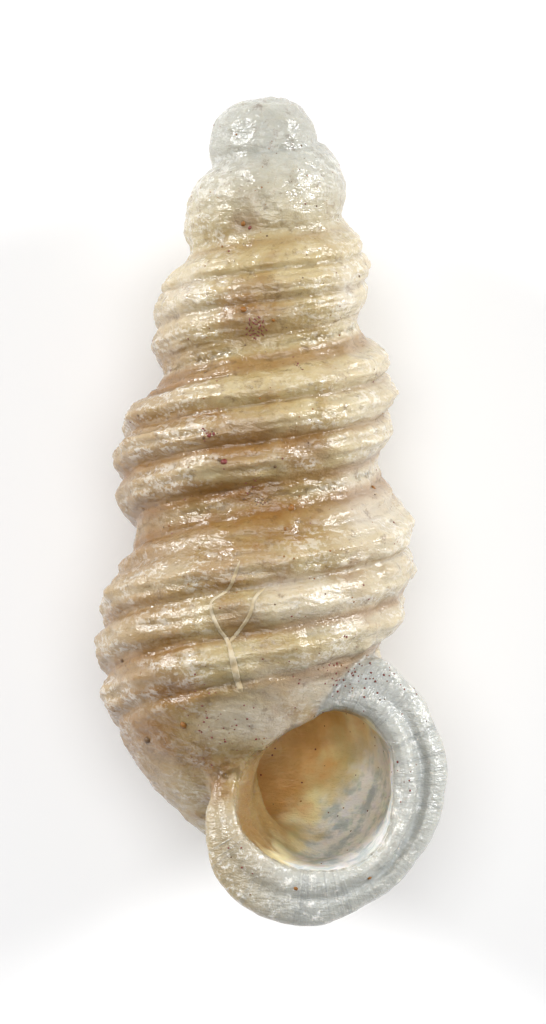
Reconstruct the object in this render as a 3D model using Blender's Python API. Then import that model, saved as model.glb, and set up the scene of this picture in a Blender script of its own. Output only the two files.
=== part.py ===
"""Minute sea-snail shell with spiral cords and a thick round lip, lying on its back with the mouth up.

The shell is drawn first in its own frame, in millimetres: the coiling axis is Z with the tip at the top,
X points to the mouth side, and the mouth faces -Y. Growth is counted in turns, and whole turns fall on +X.
Seen from the front the coils run down to the left, and the mouth is on the right.
"""
import math

import bmesh
import bpy
from mathutils import Matrix, Vector

MM = 0.001

# Growth of the tube, in turns, from the first bulb to the mouth
FIRST_TURN = -2.0
LAST_TURN = 4.0

# Suture by growth: turns, radius from the axis, depth below the tip
SUTURE = (
    (-1.0, 0.000, 0.000),
    (-0.5, 0.030, 0.012),
    (0.0, 0.129, 0.129),
    (0.5, 0.189, 0.223),
    (1.0, 0.214, 0.358),
    (1.5, 0.245, 0.500),
    (2.0, 0.277, 0.689),
    (2.5, 0.313, 0.893),
    (3.0, 0.357, 1.135),
    (3.5, 0.376, 1.399),
    (4.0, 0.393, 1.720),
    (4.5, 0.360, 2.040),
    (5.0, 0.345, 2.390),
)

# Swell of a whorl outside the line between its two sutures: turns, height; a lower power is a squarer swell
SWELL = (
    (-2.0, 0.000),
    (-1.5, 0.004),
    (-1.0, 0.036),
    (-0.5, 0.086),
    (0.0, 0.050),
    (0.5, 0.050),
    (1.0, 0.060),
    (1.5, 0.070),
    (2.0, 0.085),
    (2.5, 0.100),
    (3.0, 0.106),
    (3.5, 0.110),
    (4.0, 0.128),
)
SWELL_POWER = 0.75
LAST_SWELL_REACH = 0.08

# Cords, by their place across a whorl, 0 at the upper suture and 1 at the lower one
CORD_HEIGHT = ((-2.0, 0.0), (0.1, 0.0), (1.0, 0.014), (1.5, 0.019), (2.0, 0.028), (2.5, 0.038), (4.0, 0.040))
CORD_WIDTH = 0.055
CORD_MEAN = 0.42
# Main cords: place on the early whorls, place on the last one, strength; they drift between these turns
CORDS = ((0.25, 0.32, 1.12), (0.50, 0.55, 1.0), (0.765, 0.80, 0.9))
CORD_DRIFT = (1.5, 3.2)
# Thin cord on the shoulder of the late whorls, and the cord at the edge of the base: place, strength
SHOULDER_CORD = (0.16, 0.45)
SHOULDER_TURNS = (2.5, 3.2)
BASE_CORD = (0.98, 0.50)
SUTURE_BAND = 0.08

# Base of the last whorl: where it meets the axis, by turns, and the bend of its curve as shares
FREE_TURNS = (LAST_TURN - 1.0, LAST_TURN - 0.6)
BASE_TIP = ((3.0, 2.13), (3.5, 2.36), (3.75, 2.43), (4.0, 2.44))
BASE_BEND = (0.64, 0.70)

# Mouth: centre, then the inner and outer edge of the lip by direction, 0 = away from the axis, 90 = down
MOUTH_RADIUS = 0.201
MOUTH_DEPTH = 2.157
INNER_EDGE = (
    (0, 0.248), (46, 0.270), (88, 0.246), (127, 0.240), (153, 0.243), (180, 0.228),
    (217, 0.192), (241, 0.187), (264, 0.208), (288, 0.262), (327, 0.270),
)
OUTER_EDGE = (
    (0, 0.428), (38, 0.420), (71, 0.432), (90, 0.443), (120, 0.428), (145, 0.384), (171, 0.330),
    (206, 0.311), (230, 0.260), (255, 0.245), (296, 0.440), (333, 0.425),
)
# Tube behind the lip: the share of the last whorl's wall that it follows before it runs straight to the base,
# then its outside by direction on the side that neither of them gives
OUTLINE_WALL_END = 0.725
TUBE_INNER_SIDE = (
    (127, 0.330), (150, 0.290), (180, 0.260), (206, 0.250), (230, 0.220), (255, 0.230), (275, 0.300),
)

# Section of the lip, round from its buried back edge: what its radius is mixed from, the share, distance
# in front of the axis plane
LIP_SECTION = (
    ("tube", 0.00, -0.060), ("tube", 0.84, -0.060), ("tube", 1.015, -0.012), ("flare", 0.10, 0.060),
    ("flare", 0.32, 0.130), ("flare", 0.72, 0.185), ("flare", 0.98, 0.225), ("face", 1.00, 0.250),
    ("face", 0.92, 0.272), ("face", 0.72, 0.270), ("face", 0.52, 0.258), ("face", 0.40, 0.280),
    ("face", 0.24, 0.308), ("face", 0.08, 0.305), ("face", -0.12, 0.295), ("tube", 0.00, 0.250),
)
# The lip's outer side leans back by this share of its distance from the mouth's middle
LIP_LEAN = 0.10

# Hollow: turns, radius of its middle, depth of its middle, half its width, half its height
HOLLOW = (
    (0.5, 0.105, 0.420, 0.062, 0.080),
    (1.0, 0.120, 0.540, 0.085, 0.115),
    (1.5, 0.140, 0.720, 0.105, 0.145),
    (2.0, 0.160, 0.940, 0.125, 0.175),
    (2.5, 0.180, 1.220, 0.145, 0.205),
    (3.0, 0.200, 1.530, 0.165, 0.235),
    (3.5, 0.220, 1.850, 0.185, 0.255),
    (4.0, 0.240, 2.140, 0.210, 0.235),
)
# Hollow in front of the axis plane: change from the coil's section to the mouth's, size, distance forward
MOUTH_STEPS = ((0.2, 1.0, 0.03), (0.6, 1.0, 0.12), (1.0, 1.0, 0.22), (1.0, 1.04, 0.28), (1.0, 1.16, 0.335))

# Where the shell lies: two points of its back, each by depth and radius, that the floor passes through
REST_ABOVE = (1.18, 0.441)
REST_BELOW = (1.95, 0.471)
GROUND_SIZE = 6.0

# Facets
COLUMNS_PER_TURN = 32
ROWS_PER_WHORL = 12
ROWS_ON_BASE = 6
LIP_STATIONS = 44
HOLLOW_SIDES = 20
HOLLOW_STEPS = 20
OUTLINE_STEPS = 29
OUTLINE_BASE_STEPS = 10
MERGE_DISTANCE = 2e-5
SMOOTH_ANGLE = math.radians(35)

# Finish: warm, translucent, glossy shell
SHELL_COLOUR = (0.62, 0.53, 0.40, 1.0)
SHELL_ROUGHNESS = 0.35
SHELL_METALLIC = 0.0


def along(table, place):
    """Smooth value between the rows of a table whose first column rises."""
    last = len(table) - 1
    if place <= table[0][0]:
        return table[0][1:]
    if place >= table[last][0]:
        return table[last][1:]
    i = max(k for k in range(last) if table[k][0] <= place)
    before, start, end, after = table[max(i - 1, 0)], table[i], table[i + 1], table[min(i + 2, last)]
    span = end[0] - start[0]
    f = (place - start[0]) / span
    values = []
    for a, b, c, d in zip(before[1:], start[1:], end[1:], after[1:]):
        slope_b = (c - a) * span / (end[0] - before[0])
        slope_c = (d - b) * span / (after[0] - start[0])
        values.append(
            (2 * f**3 - 3 * f**2 + 1) * b + (f**3 - 2 * f**2 + f) * slope_b
            + (3 * f**2 - 2 * f**3) * c + (f**3 - f**2) * slope_c
        )
    return tuple(values)


def around(table, degrees):
    """Smooth value round a closed table of directions."""
    doubled = [(d - 360, r) for d, r in table] + list(table) + [(d + 360, r) for d, r in table]
    return along(doubled, degrees % 360)[0]


def ease(a, b, x):
    """0 at a, 1 at b, smooth between."""
    f = min(max((x - a) / (b - a), 0.0), 1.0)
    return f * f * (3 - 2 * f)


def bump(v, place):
    """A cord's section across the whorl, 1 on its crest."""
    return math.exp(-((v - place) / CORD_WIDTH) ** 2)


def cords(turn, v):
    """Height of all the cords at one point, as a share of the main cords' height."""
    free = ease(*FREE_TURNS, turn)
    ridge = SHOULDER_CORD[1] * ease(*SHOULDER_TURNS, turn) * bump(v, SHOULDER_CORD[0])
    ridge += BASE_CORD[1] * free * bump(v, BASE_CORD[0])
    for early, late, strength in CORDS:
        ridge += strength * bump(v, early + (late - early) * ease(*CORD_DRIFT, turn))
    fade = ease(0, SUTURE_BAND, v)
    if turn <= FREE_TURNS[0]:
        fade *= ease(1, 1 - SUTURE_BAND, v)
    return (ridge - CORD_MEAN) * fade


def wall(turn, v):
    """Radius and depth on the outer wall, v from 0 at the upper suture to 1 at the lower."""
    upper = Vector(along(SUTURE, turn))
    lower = Vector(along(SUTURE, turn + 1)) if turn + 1 > SUTURE[0][0] else Vector((0, 0))
    chord = lower - upper
    if chord.length < MERGE_DISTANCE:
        return upper
    outward = Vector((chord.y, -chord.x)).normalized()
    reach = 1 + LAST_SWELL_REACH * ease(*FREE_TURNS, turn)
    swell = along(SWELL, turn)[0] * max(math.sin(math.pi * v / reach), 0.0) ** SWELL_POWER
    return upper.lerp(lower, v) + outward * (swell + along(CORD_HEIGHT, turn)[0] * cords(turn, v))


def base(turn, w):
    """Radius and depth under the last whorl, w from 0 at the end of its wall to 1 on the axis."""
    start = wall(turn, 1.0)
    tip = Vector((0.0, along(BASE_TIP, turn)[0]))
    bend = Vector((BASE_BEND[0] * start.x, start.y + BASE_BEND[1] * (tip.y - start.y)))
    return start * (1 - w) ** 2 + bend * 2 * w * (1 - w) + tip * w * w


def at(turn, radius, depth):
    """Point of the shell at a growth angle, a distance from the axis and a depth below the tip."""
    angle = 2 * math.pi * turn
    return Vector((radius * math.cos(angle), -radius * math.sin(angle), -depth))


def bent_grid(bm, columns, rows, place):
    """Adds a flat grid of cells and moves each of its corners to place(column, row)."""
    made = bmesh.ops.create_grid(bm, x_segments=columns, y_segments=rows, size=1.0)
    for vert in made["verts"]:
        column = round((vert.co.x + 1) / 2 * columns)
        row = round((vert.co.y + 1) / 2 * rows)
        vert.co = place(column, row)


def close(bm):
    """Merges the seams, fills what stays open with flat faces, and turns every face outwards."""
    bmesh.ops.remove_doubles(bm, verts=bm.verts, dist=MERGE_DISTANCE)
    bmesh.ops.dissolve_degenerate(bm, dist=MERGE_DISTANCE / 2, edges=bm.edges)
    bmesh.ops.holes_fill(bm, edges=[e for e in bm.edges if e.is_boundary], sides=0)
    bmesh.ops.triangulate(bm, faces=[f for f in bm.faces if len(f.verts) > 4])
    bmesh.ops.recalc_face_normals(bm, faces=bm.faces)
    return bm


def whorls():
    """The coiled body without a hollow, closed across the mouth by a flat face."""
    bm = bmesh.new()

    def on_wall(c, r):
        turn = FIRST_TURN + c / COLUMNS_PER_TURN
        return at(turn, *wall(turn, r / ROWS_PER_WHORL))

    def on_base(c, r):
        turn = LAST_TURN - 1 + c / COLUMNS_PER_TURN
        return at(turn, *base(turn, r / ROWS_ON_BASE))

    bent_grid(bm, round((LAST_TURN - FIRST_TURN) * COLUMNS_PER_TURN), ROWS_PER_WHORL, on_wall)
    bent_grid(bm, COLUMNS_PER_TURN, ROWS_ON_BASE, on_base)
    return close(bm)


def tube_outline():
    """Outside of the last whorl's section as a table of radius by direction about the mouth."""
    section = [wall(LAST_TURN, OUTLINE_WALL_END * i / OUTLINE_STEPS) for i in range(OUTLINE_STEPS + 1)]
    section += [base(LAST_TURN, i / OUTLINE_BASE_STEPS) for i in range(OUTLINE_BASE_STEPS + 1)]
    rows = list(TUBE_INNER_SIDE)
    for radius, depth in section:
        across, down = radius - MOUTH_RADIUS, depth - MOUTH_DEPTH
        rows.append((math.degrees(math.atan2(down, across)) % 360, math.hypot(across, down)))
    return tuple(sorted(rows))


def lip():
    """The end of the tube with its thick double lip, a solid plug that the hollow is then cut through."""
    bm = bmesh.new()
    outline = tube_outline()

    def place(c, r):
        degrees = 360.0 * (c % LIP_STATIONS) / LIP_STATIONS
        kind, share, forward = LIP_SECTION[r]
        tube = around(outline, degrees)
        inner = around(INNER_EDGE, degrees)
        outer = around(OUTER_EDGE, degrees)
        radius = {
            "tube": share * tube,
            "flare": tube + share * (outer - tube),
            "face": inner + share * (outer - inner),
        }[kind]
        across = radius * math.cos(math.radians(degrees))
        down = radius * math.sin(math.radians(degrees))
        if forward > 0:
            forward -= LIP_LEAN * across
        return Vector((MOUTH_RADIUS + across, -forward, -(MOUTH_DEPTH + down)))

    bent_grid(bm, LIP_STATIONS, len(LIP_SECTION) - 1, place)
    return close(bm)


def hollow():
    """The coiled hollow, from its blind end in the spire to the mouth."""
    bm = bmesh.new()
    first = HOLLOW[0][0] - 0.5 / HOLLOW_STEPS
    coiled = int((LAST_TURN - first) * HOLLOW_STEPS)

    def place(c, r):
        degrees = 360.0 * (r % HOLLOW_SIDES) / HOLLOW_SIDES
        direction = Vector((math.cos(math.radians(degrees)), math.sin(math.radians(degrees))))
        turn = first + c / HOLLOW_STEPS
        middle, depth, half_width, half_height = along(HOLLOW, turn)
        section = Vector((middle + half_width * direction.x, depth + half_height * direction.y))
        if c <= coiled:
            return at(turn, *section)
        change, size, forward = MOUTH_STEPS[c - coiled - 1]
        mouth = Vector((MOUTH_RADIUS, MOUTH_DEPTH)) + size * around(INNER_EDGE, degrees) * direction
        section = section.lerp(mouth, change)
        return Vector((section.x, LIP_LEAN * (section.x - MOUTH_RADIUS) - forward, -section.y))

    bent_grid(bm, coiled + len(MOUTH_STEPS), HOLLOW_SIDES, place)
    return close(bm)


def clear_scene():
    for obj in list(bpy.data.objects):
        bpy.data.objects.remove(obj, do_unlink=True)


def shell_material():
    material = bpy.data.materials.new("shell")
    material.use_nodes = True
    shader = material.node_tree.nodes["Principled BSDF"]
    shader.inputs["Base Color"].default_value = SHELL_COLOUR
    shader.inputs["Roughness"].default_value = SHELL_ROUGHNESS
    shader.inputs["Metallic"].default_value = SHELL_METALLIC
    return material


def mesh_object(name, bm, collection):
    """Turns a shape drawn in millimetres into an object of its real size."""
    bmesh.ops.scale(bm, vec=(MM, MM, MM), verts=bm.verts)
    mesh = bpy.data.meshes.new(name)
    bm.to_mesh(mesh)
    bm.free()
    mesh.shade_smooth()
    mesh.set_sharp_from_angle(angle=SMOOTH_ANGLE)
    obj = bpy.data.objects.new(name, mesh)
    collection.objects.link(obj)
    return obj


def boolean(obj, operation, other):
    modifier = obj.modifiers.new(operation.title(), "BOOLEAN")
    modifier.operation = operation
    modifier.solver = "EXACT"
    modifier.object = other
    other.hide_render = True
    other.display_type = "WIRE"


def lying_pose(shell):
    """Turns the shell onto its back, centred over the origin, with its rest plane on the floor."""
    slope = math.atan2(REST_BELOW[1] - REST_ABOVE[1], REST_BELOW[0] - REST_ABOVE[0])
    turned = Matrix.Rotation(math.radians(-90) - slope, 4, "X")
    floor = (turned @ Vector((0.0, REST_BELOW[1], -REST_BELOW[0]))).z * MM
    finished = shell.evaluated_get(bpy.context.evaluated_depsgraph_get())
    places = [turned @ vert.co for vert in finished.data.vertices]
    middle = [(min(p[i] for p in places) + max(p[i] for p in places)) / 2 for i in range(2)]
    return Matrix.Translation((-middle[0], -middle[1], -floor)) @ turned


def ground(collection):
    """The block whose top is the floor; it leaves the small flat spots that the shell rests on."""
    size = GROUND_SIZE * MM
    bpy.ops.mesh.primitive_cube_add(size=size, location=(0, 0, -size / 2))
    block = bpy.context.object
    block.name = "ground"
    for other in block.users_collection:
        other.objects.unlink(block)
    collection.objects.link(block)
    return block


def main():
    clear_scene()
    shells = bpy.data.collections.new("lironoba shell")
    cutters = bpy.data.collections.new("cutters")
    bpy.context.scene.collection.children.link(shells)
    bpy.context.scene.collection.children.link(cutters)
    shell = mesh_object("shell", whorls(), shells)
    shell.data.materials.append(shell_material())
    boolean(shell, "UNION", mesh_object("lip", lip(), cutters))
    boolean(shell, "DIFFERENCE", mesh_object("coiled hollow", hollow(), cutters))
    pose = lying_pose(shell)
    for obj in (shell, *cutters.objects):
        obj.matrix_world = pose
    boolean(shell, "DIFFERENCE", ground(cutters))


main()
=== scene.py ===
# %% [markdown]
# A minute sea-snail shell, 2.6 mm long, lies on its back with the mouth up. This lesson builds its
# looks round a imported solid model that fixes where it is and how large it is. The shell is drawn in its
# own frame, in millimetres, because that is how a shell grows: Z is the coiling axis with the tip at
# the top, X points to the mouth side, the mouth faces -Y, and growth is counted in turns. At the end it
# is laid down and made metres.

# %% Load the frame
import math
import random

import bmesh
import bpy
from mathutils import Color, Matrix, Vector, kdtree, noise
from mathutils.bvhtree import BVHTree


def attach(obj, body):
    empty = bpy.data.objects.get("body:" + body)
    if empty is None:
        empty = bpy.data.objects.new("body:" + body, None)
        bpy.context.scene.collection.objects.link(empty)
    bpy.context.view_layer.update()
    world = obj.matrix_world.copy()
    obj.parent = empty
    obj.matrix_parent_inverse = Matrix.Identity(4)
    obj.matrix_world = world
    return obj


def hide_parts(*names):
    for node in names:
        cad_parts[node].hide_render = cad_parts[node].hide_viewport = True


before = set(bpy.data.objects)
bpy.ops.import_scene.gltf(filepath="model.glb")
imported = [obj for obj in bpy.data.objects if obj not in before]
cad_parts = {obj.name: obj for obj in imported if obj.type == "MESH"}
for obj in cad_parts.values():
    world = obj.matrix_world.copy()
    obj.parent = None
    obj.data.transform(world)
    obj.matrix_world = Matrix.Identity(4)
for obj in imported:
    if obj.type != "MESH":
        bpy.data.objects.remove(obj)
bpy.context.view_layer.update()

MM = 0.001

# %% [markdown]
# The lying pose comes from two points of the back that touch the floor, one on each of the two widest
# whorls. The shell is turned until both are level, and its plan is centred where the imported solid's is.

# %% Lay the shell down
REST_ABOVE = (1.18, 0.441)
REST_BELOW = (1.95, 0.471)
PLAN_MIDDLE = (0.0689, -1.2932)


def lying_pose():
    """Matrix from the shell's own frame, in millimetres, to the floor, in metres."""
    slope = math.atan2(REST_BELOW[1] - REST_ABOVE[1], REST_BELOW[0] - REST_ABOVE[0])
    turned = Matrix.Rotation(math.radians(-90) - slope, 4, "X")
    touch = turned @ Vector((0.0, REST_BELOW[1], -REST_BELOW[0]))
    middle = turned @ Vector((PLAN_MIDDLE[0], 0.0, PLAN_MIDDLE[1]))
    return Matrix.Scale(MM, 4) @ Matrix.Translation((-middle.x, -middle.y, -touch.z)) @ turned


POSE = lying_pose()
print("slope of the axis, degrees:", round(math.degrees(POSE.to_euler().x) + 90, 2))

# %% [markdown]
# The photograph looks straight at the mouth through a long lens, so the camera stands over the lying
# shell. Its place is worked out from the picture's scale: the shell is 2.6 mm long and takes 827 of the
# 1024 pixels.

# %% Camera
IMAGE_HEIGHT = 1024
PIXELS_PER_MM = 318
LENS = 300.0
SENSOR = 36.0
FARTHEST = 1.0
PICTURE_MIDDLE = Vector((0.0446, 0.0, -1.30))
LEAN = math.radians(2.48)


def add_camera():
    height = IMAGE_HEIGHT / PIXELS_PER_MM
    distance = height / SENSOR * LENS
    right = Vector((math.cos(LEAN), 0, math.sin(LEAN)))
    up = Vector((-math.sin(LEAN), 0, math.cos(LEAN)))
    back = right.cross(up)
    data = bpy.data.cameras.new("camera")
    data.lens = LENS
    data.sensor_width = SENSOR
    data.clip_start = MM
    data.clip_end = FARTHEST
    camera = bpy.data.objects.new("camera", data)
    bpy.context.scene.collection.objects.link(camera)
    place = POSE @ (PICTURE_MIDDLE + back * distance)
    axes = [(POSE.to_3x3() @ axis).normalized() for axis in (right, up, back)]
    camera.matrix_world = Matrix.Translation(place) @ Matrix(axes).transposed().to_4x4()
    bpy.context.scene.camera = camera
    return distance


print("camera distance, mm:", round(add_camera(), 2))

# %% [markdown]
# Every measure of the shell changes along its growth, so each one is a short table of places. The
# values between them come from a smooth curve through the rows, the same curve that the imported solid
# uses.

# %% Smooth tables


def along(table, place):
    """Smooth value between the rows of a table whose first column rises."""
    last = len(table) - 1
    if place <= table[0][0]:
        return table[0][1:]
    if place >= table[last][0]:
        return table[last][1:]
    i = max(k for k in range(last) if table[k][0] <= place)
    before, start, end, after = table[max(i - 1, 0)], table[i], table[i + 1], table[min(i + 2, last)]
    span = end[0] - start[0]
    f = (place - start[0]) / span
    values = []
    for a, b, c, d in zip(before[1:], start[1:], end[1:], after[1:]):
        slope_b = (c - a) * span / (end[0] - before[0])
        slope_c = (d - b) * span / (after[0] - start[0])
        values.append(
            (2 * f**3 - 3 * f**2 + 1) * b + (f**3 - 2 * f**2 + f) * slope_b
            + (3 * f**2 - 2 * f**3) * c + (f**3 - f**2) * slope_c
        )
    return tuple(values)


def around(table, degrees):
    """Smooth value round a closed table of directions."""
    doubled = [(d - 360, r) for d, r in table] + list(table) + [(d + 360, r) for d, r in table]
    return along(doubled, degrees % 360)[0]


def ease(a, b, x):
    """0 at a, 1 at b, smooth between."""
    f = min(max((x - a) / (b - a), 0.0), 1.0)
    return f * f * (3 - 2 * f)


# %% [markdown]
# The outer wall is one strip that winds round the axis. Its upper edge runs along the suture of one
# turn, and its lower edge along the suture a turn later, so the strip meets itself. Between its edges
# it swells out and carries spiral cords, which start faint after the smooth bulbs at the tip.

# %% The wall's shape
FIRST_TURN = -2.0
LAST_TURN = 4.0
SUTURE = (
    (-1.0, 0.000, 0.000), (-0.5, 0.030, 0.012), (0.0, 0.129, 0.129), (0.5, 0.189, 0.223),
    (1.0, 0.214, 0.358), (1.5, 0.245, 0.500), (2.0, 0.277, 0.689), (2.5, 0.313, 0.893),
    (3.0, 0.357, 1.135), (3.5, 0.376, 1.399), (4.0, 0.393, 1.720), (4.5, 0.360, 2.040),
    (5.0, 0.345, 2.390),
)
SWELL = (
    (-2.0, 0.000), (-1.5, 0.004), (-1.0, 0.036), (-0.5, 0.086), (0.0, 0.050), (0.5, 0.050), (1.0, 0.060),
    (1.5, 0.070), (2.0, 0.085), (2.5, 0.100), (3.0, 0.106), (3.5, 0.110), (4.0, 0.128),
)
SWELL_POWER = 0.75
LAST_SWELL_REACH = 0.08
CORD_HEIGHT = ((-2.0, 0.0), (0.1, 0.0), (1.0, 0.014), (1.5, 0.019), (2.0, 0.028), (2.5, 0.038), (4.0, 0.040))
CORD_HALF_WIDTH = 0.115
CORD_ROUNDNESS = 0.85
CORD_MEAN = 0.56
CORDS = ((0.25, 0.32, 1.12), (0.50, 0.55, 1.0), (0.765, 0.80, 0.9))
CORD_DRIFT = (1.5, 3.2)
SHOULDER_CORD = (0.16, 0.45)
SHOULDER_TURNS = (2.5, 3.2)
BASE_CORD = (0.98, 0.50)
SUTURE_BAND = 0.08
FREE_TURNS = (LAST_TURN - 1.0, LAST_TURN - 0.6)
BASE_TIP = ((3.0, 2.13), (3.5, 2.36), (3.75, 2.43), (4.0, 2.44))
BASE_BEND = (0.64, 0.70)
FINE_LINES = 11
FINE_LINE_SHARE = 0.42
FINE_LINE_WANDER = 0.30
FINE_LINE_WAVES = 3.0
FINE_LINE_LEAST = 0.6
KNOT_WAVES = 9.0
UNEVENNESS = 0.45
SHOULDER_NARROW = 0.7
BASE_NARROW = 0.8
KNOT_SHIFT = Vector((7, 7, 7))
NO_CHORD = 1e-6


def bump(v, place, width=1.0):
    """A cord's section across the whorl: a round back between sharp grooves, 1 on its crest."""
    return max(1 - ((v - place) / (CORD_HALF_WIDTH * width)) ** 2, 0.0) ** CORD_ROUNDNESS


def cords(turn, v):
    """Height of all the cords at one point, as a share of the main cords' height."""
    free = ease(*FREE_TURNS, turn)
    ridge = SHOULDER_CORD[1] * ease(*SHOULDER_TURNS, turn) * bump(v, SHOULDER_CORD[0], SHOULDER_NARROW)
    ridge = max(ridge, BASE_CORD[1] * free * bump(v, BASE_CORD[0], BASE_NARROW))
    for early, late, strength in CORDS:
        ridge = max(ridge, strength * bump(v, early + (late - early) * ease(*CORD_DRIFT, turn)))
    fade = ease(0, SUTURE_BAND, v)
    if turn <= FREE_TURNS[0]:
        fade *= ease(1, 1 - SUTURE_BAND, v)
    return (ridge - CORD_MEAN) * fade


def relief(turn, v, place):
    """Fine lines beside the cords and the cords' own unevenness, in millimetres."""
    height = along(CORD_HEIGHT, turn)[0]
    fade = ease(0, SUTURE_BAND, v) * ease(1, 1 - SUTURE_BAND, v)
    wander = FINE_LINE_WANDER * noise.noise(place * FINE_LINE_WAVES)
    line = abs(math.sin(math.pi * (FINE_LINES * v + wander))) - 0.5
    broken = FINE_LINE_LEAST + noise.noise(place * KNOT_WAVES)
    uneven = UNEVENNESS * noise.noise(place * KNOT_WAVES + KNOT_SHIFT)
    return fade * height * (FINE_LINE_SHARE * line * broken + uneven)


def wall(turn, v):
    """Radius and depth on the outer wall, v from 0 at the upper suture to 1 at the lower."""
    upper = Vector(along(SUTURE, turn))
    lower = Vector(along(SUTURE, turn + 1)) if turn + 1 > SUTURE[0][0] else Vector((0, 0))
    chord = lower - upper
    if chord.length < NO_CHORD:
        return upper
    outward = Vector((chord.y, -chord.x)).normalized()
    reach = 1 + LAST_SWELL_REACH * ease(*FREE_TURNS, turn)
    swell = along(SWELL, turn)[0] * max(math.sin(math.pi * v / reach), 0.0) ** SWELL_POWER
    plain = upper.lerp(lower, v) + outward * (swell + along(CORD_HEIGHT, turn)[0] * cords(turn, v))
    return plain + outward * relief(turn, v, at(turn, *plain))


def base(turn, w):
    """Radius and depth under the last whorl, w from 0 at the end of its wall to 1 on the axis."""
    start = wall(turn, 1.0)
    tip = Vector((0.0, along(BASE_TIP, turn)[0]))
    bend = Vector((BASE_BEND[0] * start.x, start.y + BASE_BEND[1] * (tip.y - start.y)))
    return start * (1 - w) ** 2 + bend * 2 * w * (1 - w) + tip * w * w


def at(turn, radius, depth):
    """Point of the shell at a growth angle, a distance from the axis and a depth below the tip."""
    angle = 2 * math.pi * turn
    return Vector((radius * math.cos(angle), -radius * math.sin(angle), -depth))


print("widest point of the last whorl, mm:", round(max(wall(3.5, i / 50).x for i in range(51)), 3))

# %% [markdown]
# The strip could be drawn face by face, but a flat grid already has the right cells. Each of its
# corners is moved to its place on the coil, and the edges that meet are merged.

# %% Bend a grid into the whorls
COLUMNS_PER_TURN = 184
ROWS_PER_WHORL = 52
ROWS_ON_BASE = 26
MERGE_DISTANCE = 2e-5
TIP_MERGE = 2e-3
CREST_ON_BASE = 0.4


def bent_grid(bm, columns, rows, place):
    """Adds a flat grid of cells and moves each of its corners to place(column, row)."""
    made = bmesh.ops.create_grid(bm, x_segments=columns, y_segments=rows, size=1.0)
    for vert in made["verts"]:
        column = round((vert.co.x + 1) / 2 * columns)
        row = round((vert.co.y + 1) / 2 * rows)
        vert.co = place(column, row)


def close(bm):
    """Merges the seams, fills what stays open with flat faces, and turns every face outwards."""
    bmesh.ops.remove_doubles(bm, verts=bm.verts, dist=MERGE_DISTANCE)
    bmesh.ops.dissolve_degenerate(bm, dist=MERGE_DISTANCE / 2, edges=bm.edges)
    bmesh.ops.holes_fill(bm, edges=[e for e in bm.edges if e.is_boundary], sides=0)
    bmesh.ops.triangulate(bm, faces=[f for f in bm.faces if len(f.verts) > 4])
    bmesh.ops.recalc_face_normals(bm, faces=bm.faces)
    return bm


guides = []


def open_edges(bm):
    """How many edges don't have exactly two faces."""
    return sum(1 for edge in bm.edges if len(edge.link_faces) != 2)


def whorls():
    """The coiled body without a hollow, closed across the mouth by a flat face."""
    bm = bmesh.new()

    def on_wall(c, r):
        turn, v = FIRST_TURN + c / COLUMNS_PER_TURN, r / ROWS_PER_WHORL
        place = at(turn, *wall(turn, v))
        crest = 0.5 + along(CORD_HEIGHT, turn)[0] / CORD_HEIGHT[-1][1] * cords(turn, v)
        guides.append((place, (crest, 0.0, 0.0, v)))
        return place

    def on_base(c, r):
        turn = LAST_TURN - 1 + c / COLUMNS_PER_TURN
        place = at(turn, *base(turn, r / ROWS_ON_BASE))
        guides.append((place, (CREST_ON_BASE, 0.0, 0.0, 1.0)))
        return place

    bent_grid(bm, round((LAST_TURN - FIRST_TURN) * COLUMNS_PER_TURN), ROWS_PER_WHORL, on_wall)
    bent_grid(bm, COLUMNS_PER_TURN, ROWS_ON_BASE, on_base)
    tip = [vert for vert in bm.verts if vert.co.length < TIP_MERGE]
    bmesh.ops.pointmerge(bm, verts=tip, merge_co=(0, 0, 0))
    return close(bm)


body = whorls()
print("whorls:", len(body.faces), "faces")

# %% [markdown]
# The adult animal stops winding and thickens the mouth's edge into a round double lip. Its section is
# drawn once, as steps that say how far out and how far forward each ring of the lip stands, and carried
# round the mouth.

# %% The lip's shape
MOUTH_RADIUS = 0.201
MOUTH_DEPTH = 2.157
INNER_EDGE = (
    (0, 0.248), (46, 0.270), (88, 0.246), (127, 0.240), (153, 0.243), (180, 0.228),
    (217, 0.192), (241, 0.187), (264, 0.208), (288, 0.262), (327, 0.270),
)
OUTER_EDGE = (
    (0, 0.417), (10, 0.411), (22, 0.404), (35, 0.398), (49, 0.400), (60, 0.399), (70, 0.408), (83, 0.424),
    (101, 0.426), (120, 0.420), (138, 0.397), (145, 0.380), (156, 0.352), (172, 0.322), (190, 0.300),
    (206, 0.280), (230, 0.250), (255, 0.245), (294, 0.455), (304, 0.452), (314, 0.447), (322, 0.445),
    (329, 0.434), (339, 0.433), (352, 0.425),
)
OUTLINE_WALL_END = 0.725
OUTLINE_STEPS = 29
OUTLINE_BASE_STEPS = 10
TUBE_INNER_SIDE = (
    (127, 0.330), (150, 0.290), (180, 0.260), (206, 0.250), (230, 0.220), (255, 0.230), (275, 0.300),
)
LIP_SECTION = (
    ("tube", 0.00, -0.060, 0.0), ("tube", 0.84, -0.060, 0.0), ("tube", 1.015, -0.012, 0.0),
    ("flare", 0.10, 0.060, 0.0), ("flare", 0.32, 0.130, 0.0), ("flare", 0.72, 0.185, 0.0),
    ("flare", 0.98, 0.222, 0.0), ("face", 1.00, 0.240, 0.0), ("face", 0.93, 0.258, 0.0),
    ("face", 0.74, 0.270, 0.004), ("face", 0.54, 0.278, -0.020), ("face", 0.40, 0.286, 0.012),
    ("face", 0.24, 0.290, 0.016), ("face", 0.08, 0.284, 0.0), ("face", -0.12, 0.255, 0.0),
    ("tube", 0.00, 0.220, 0.0),
)
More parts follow.
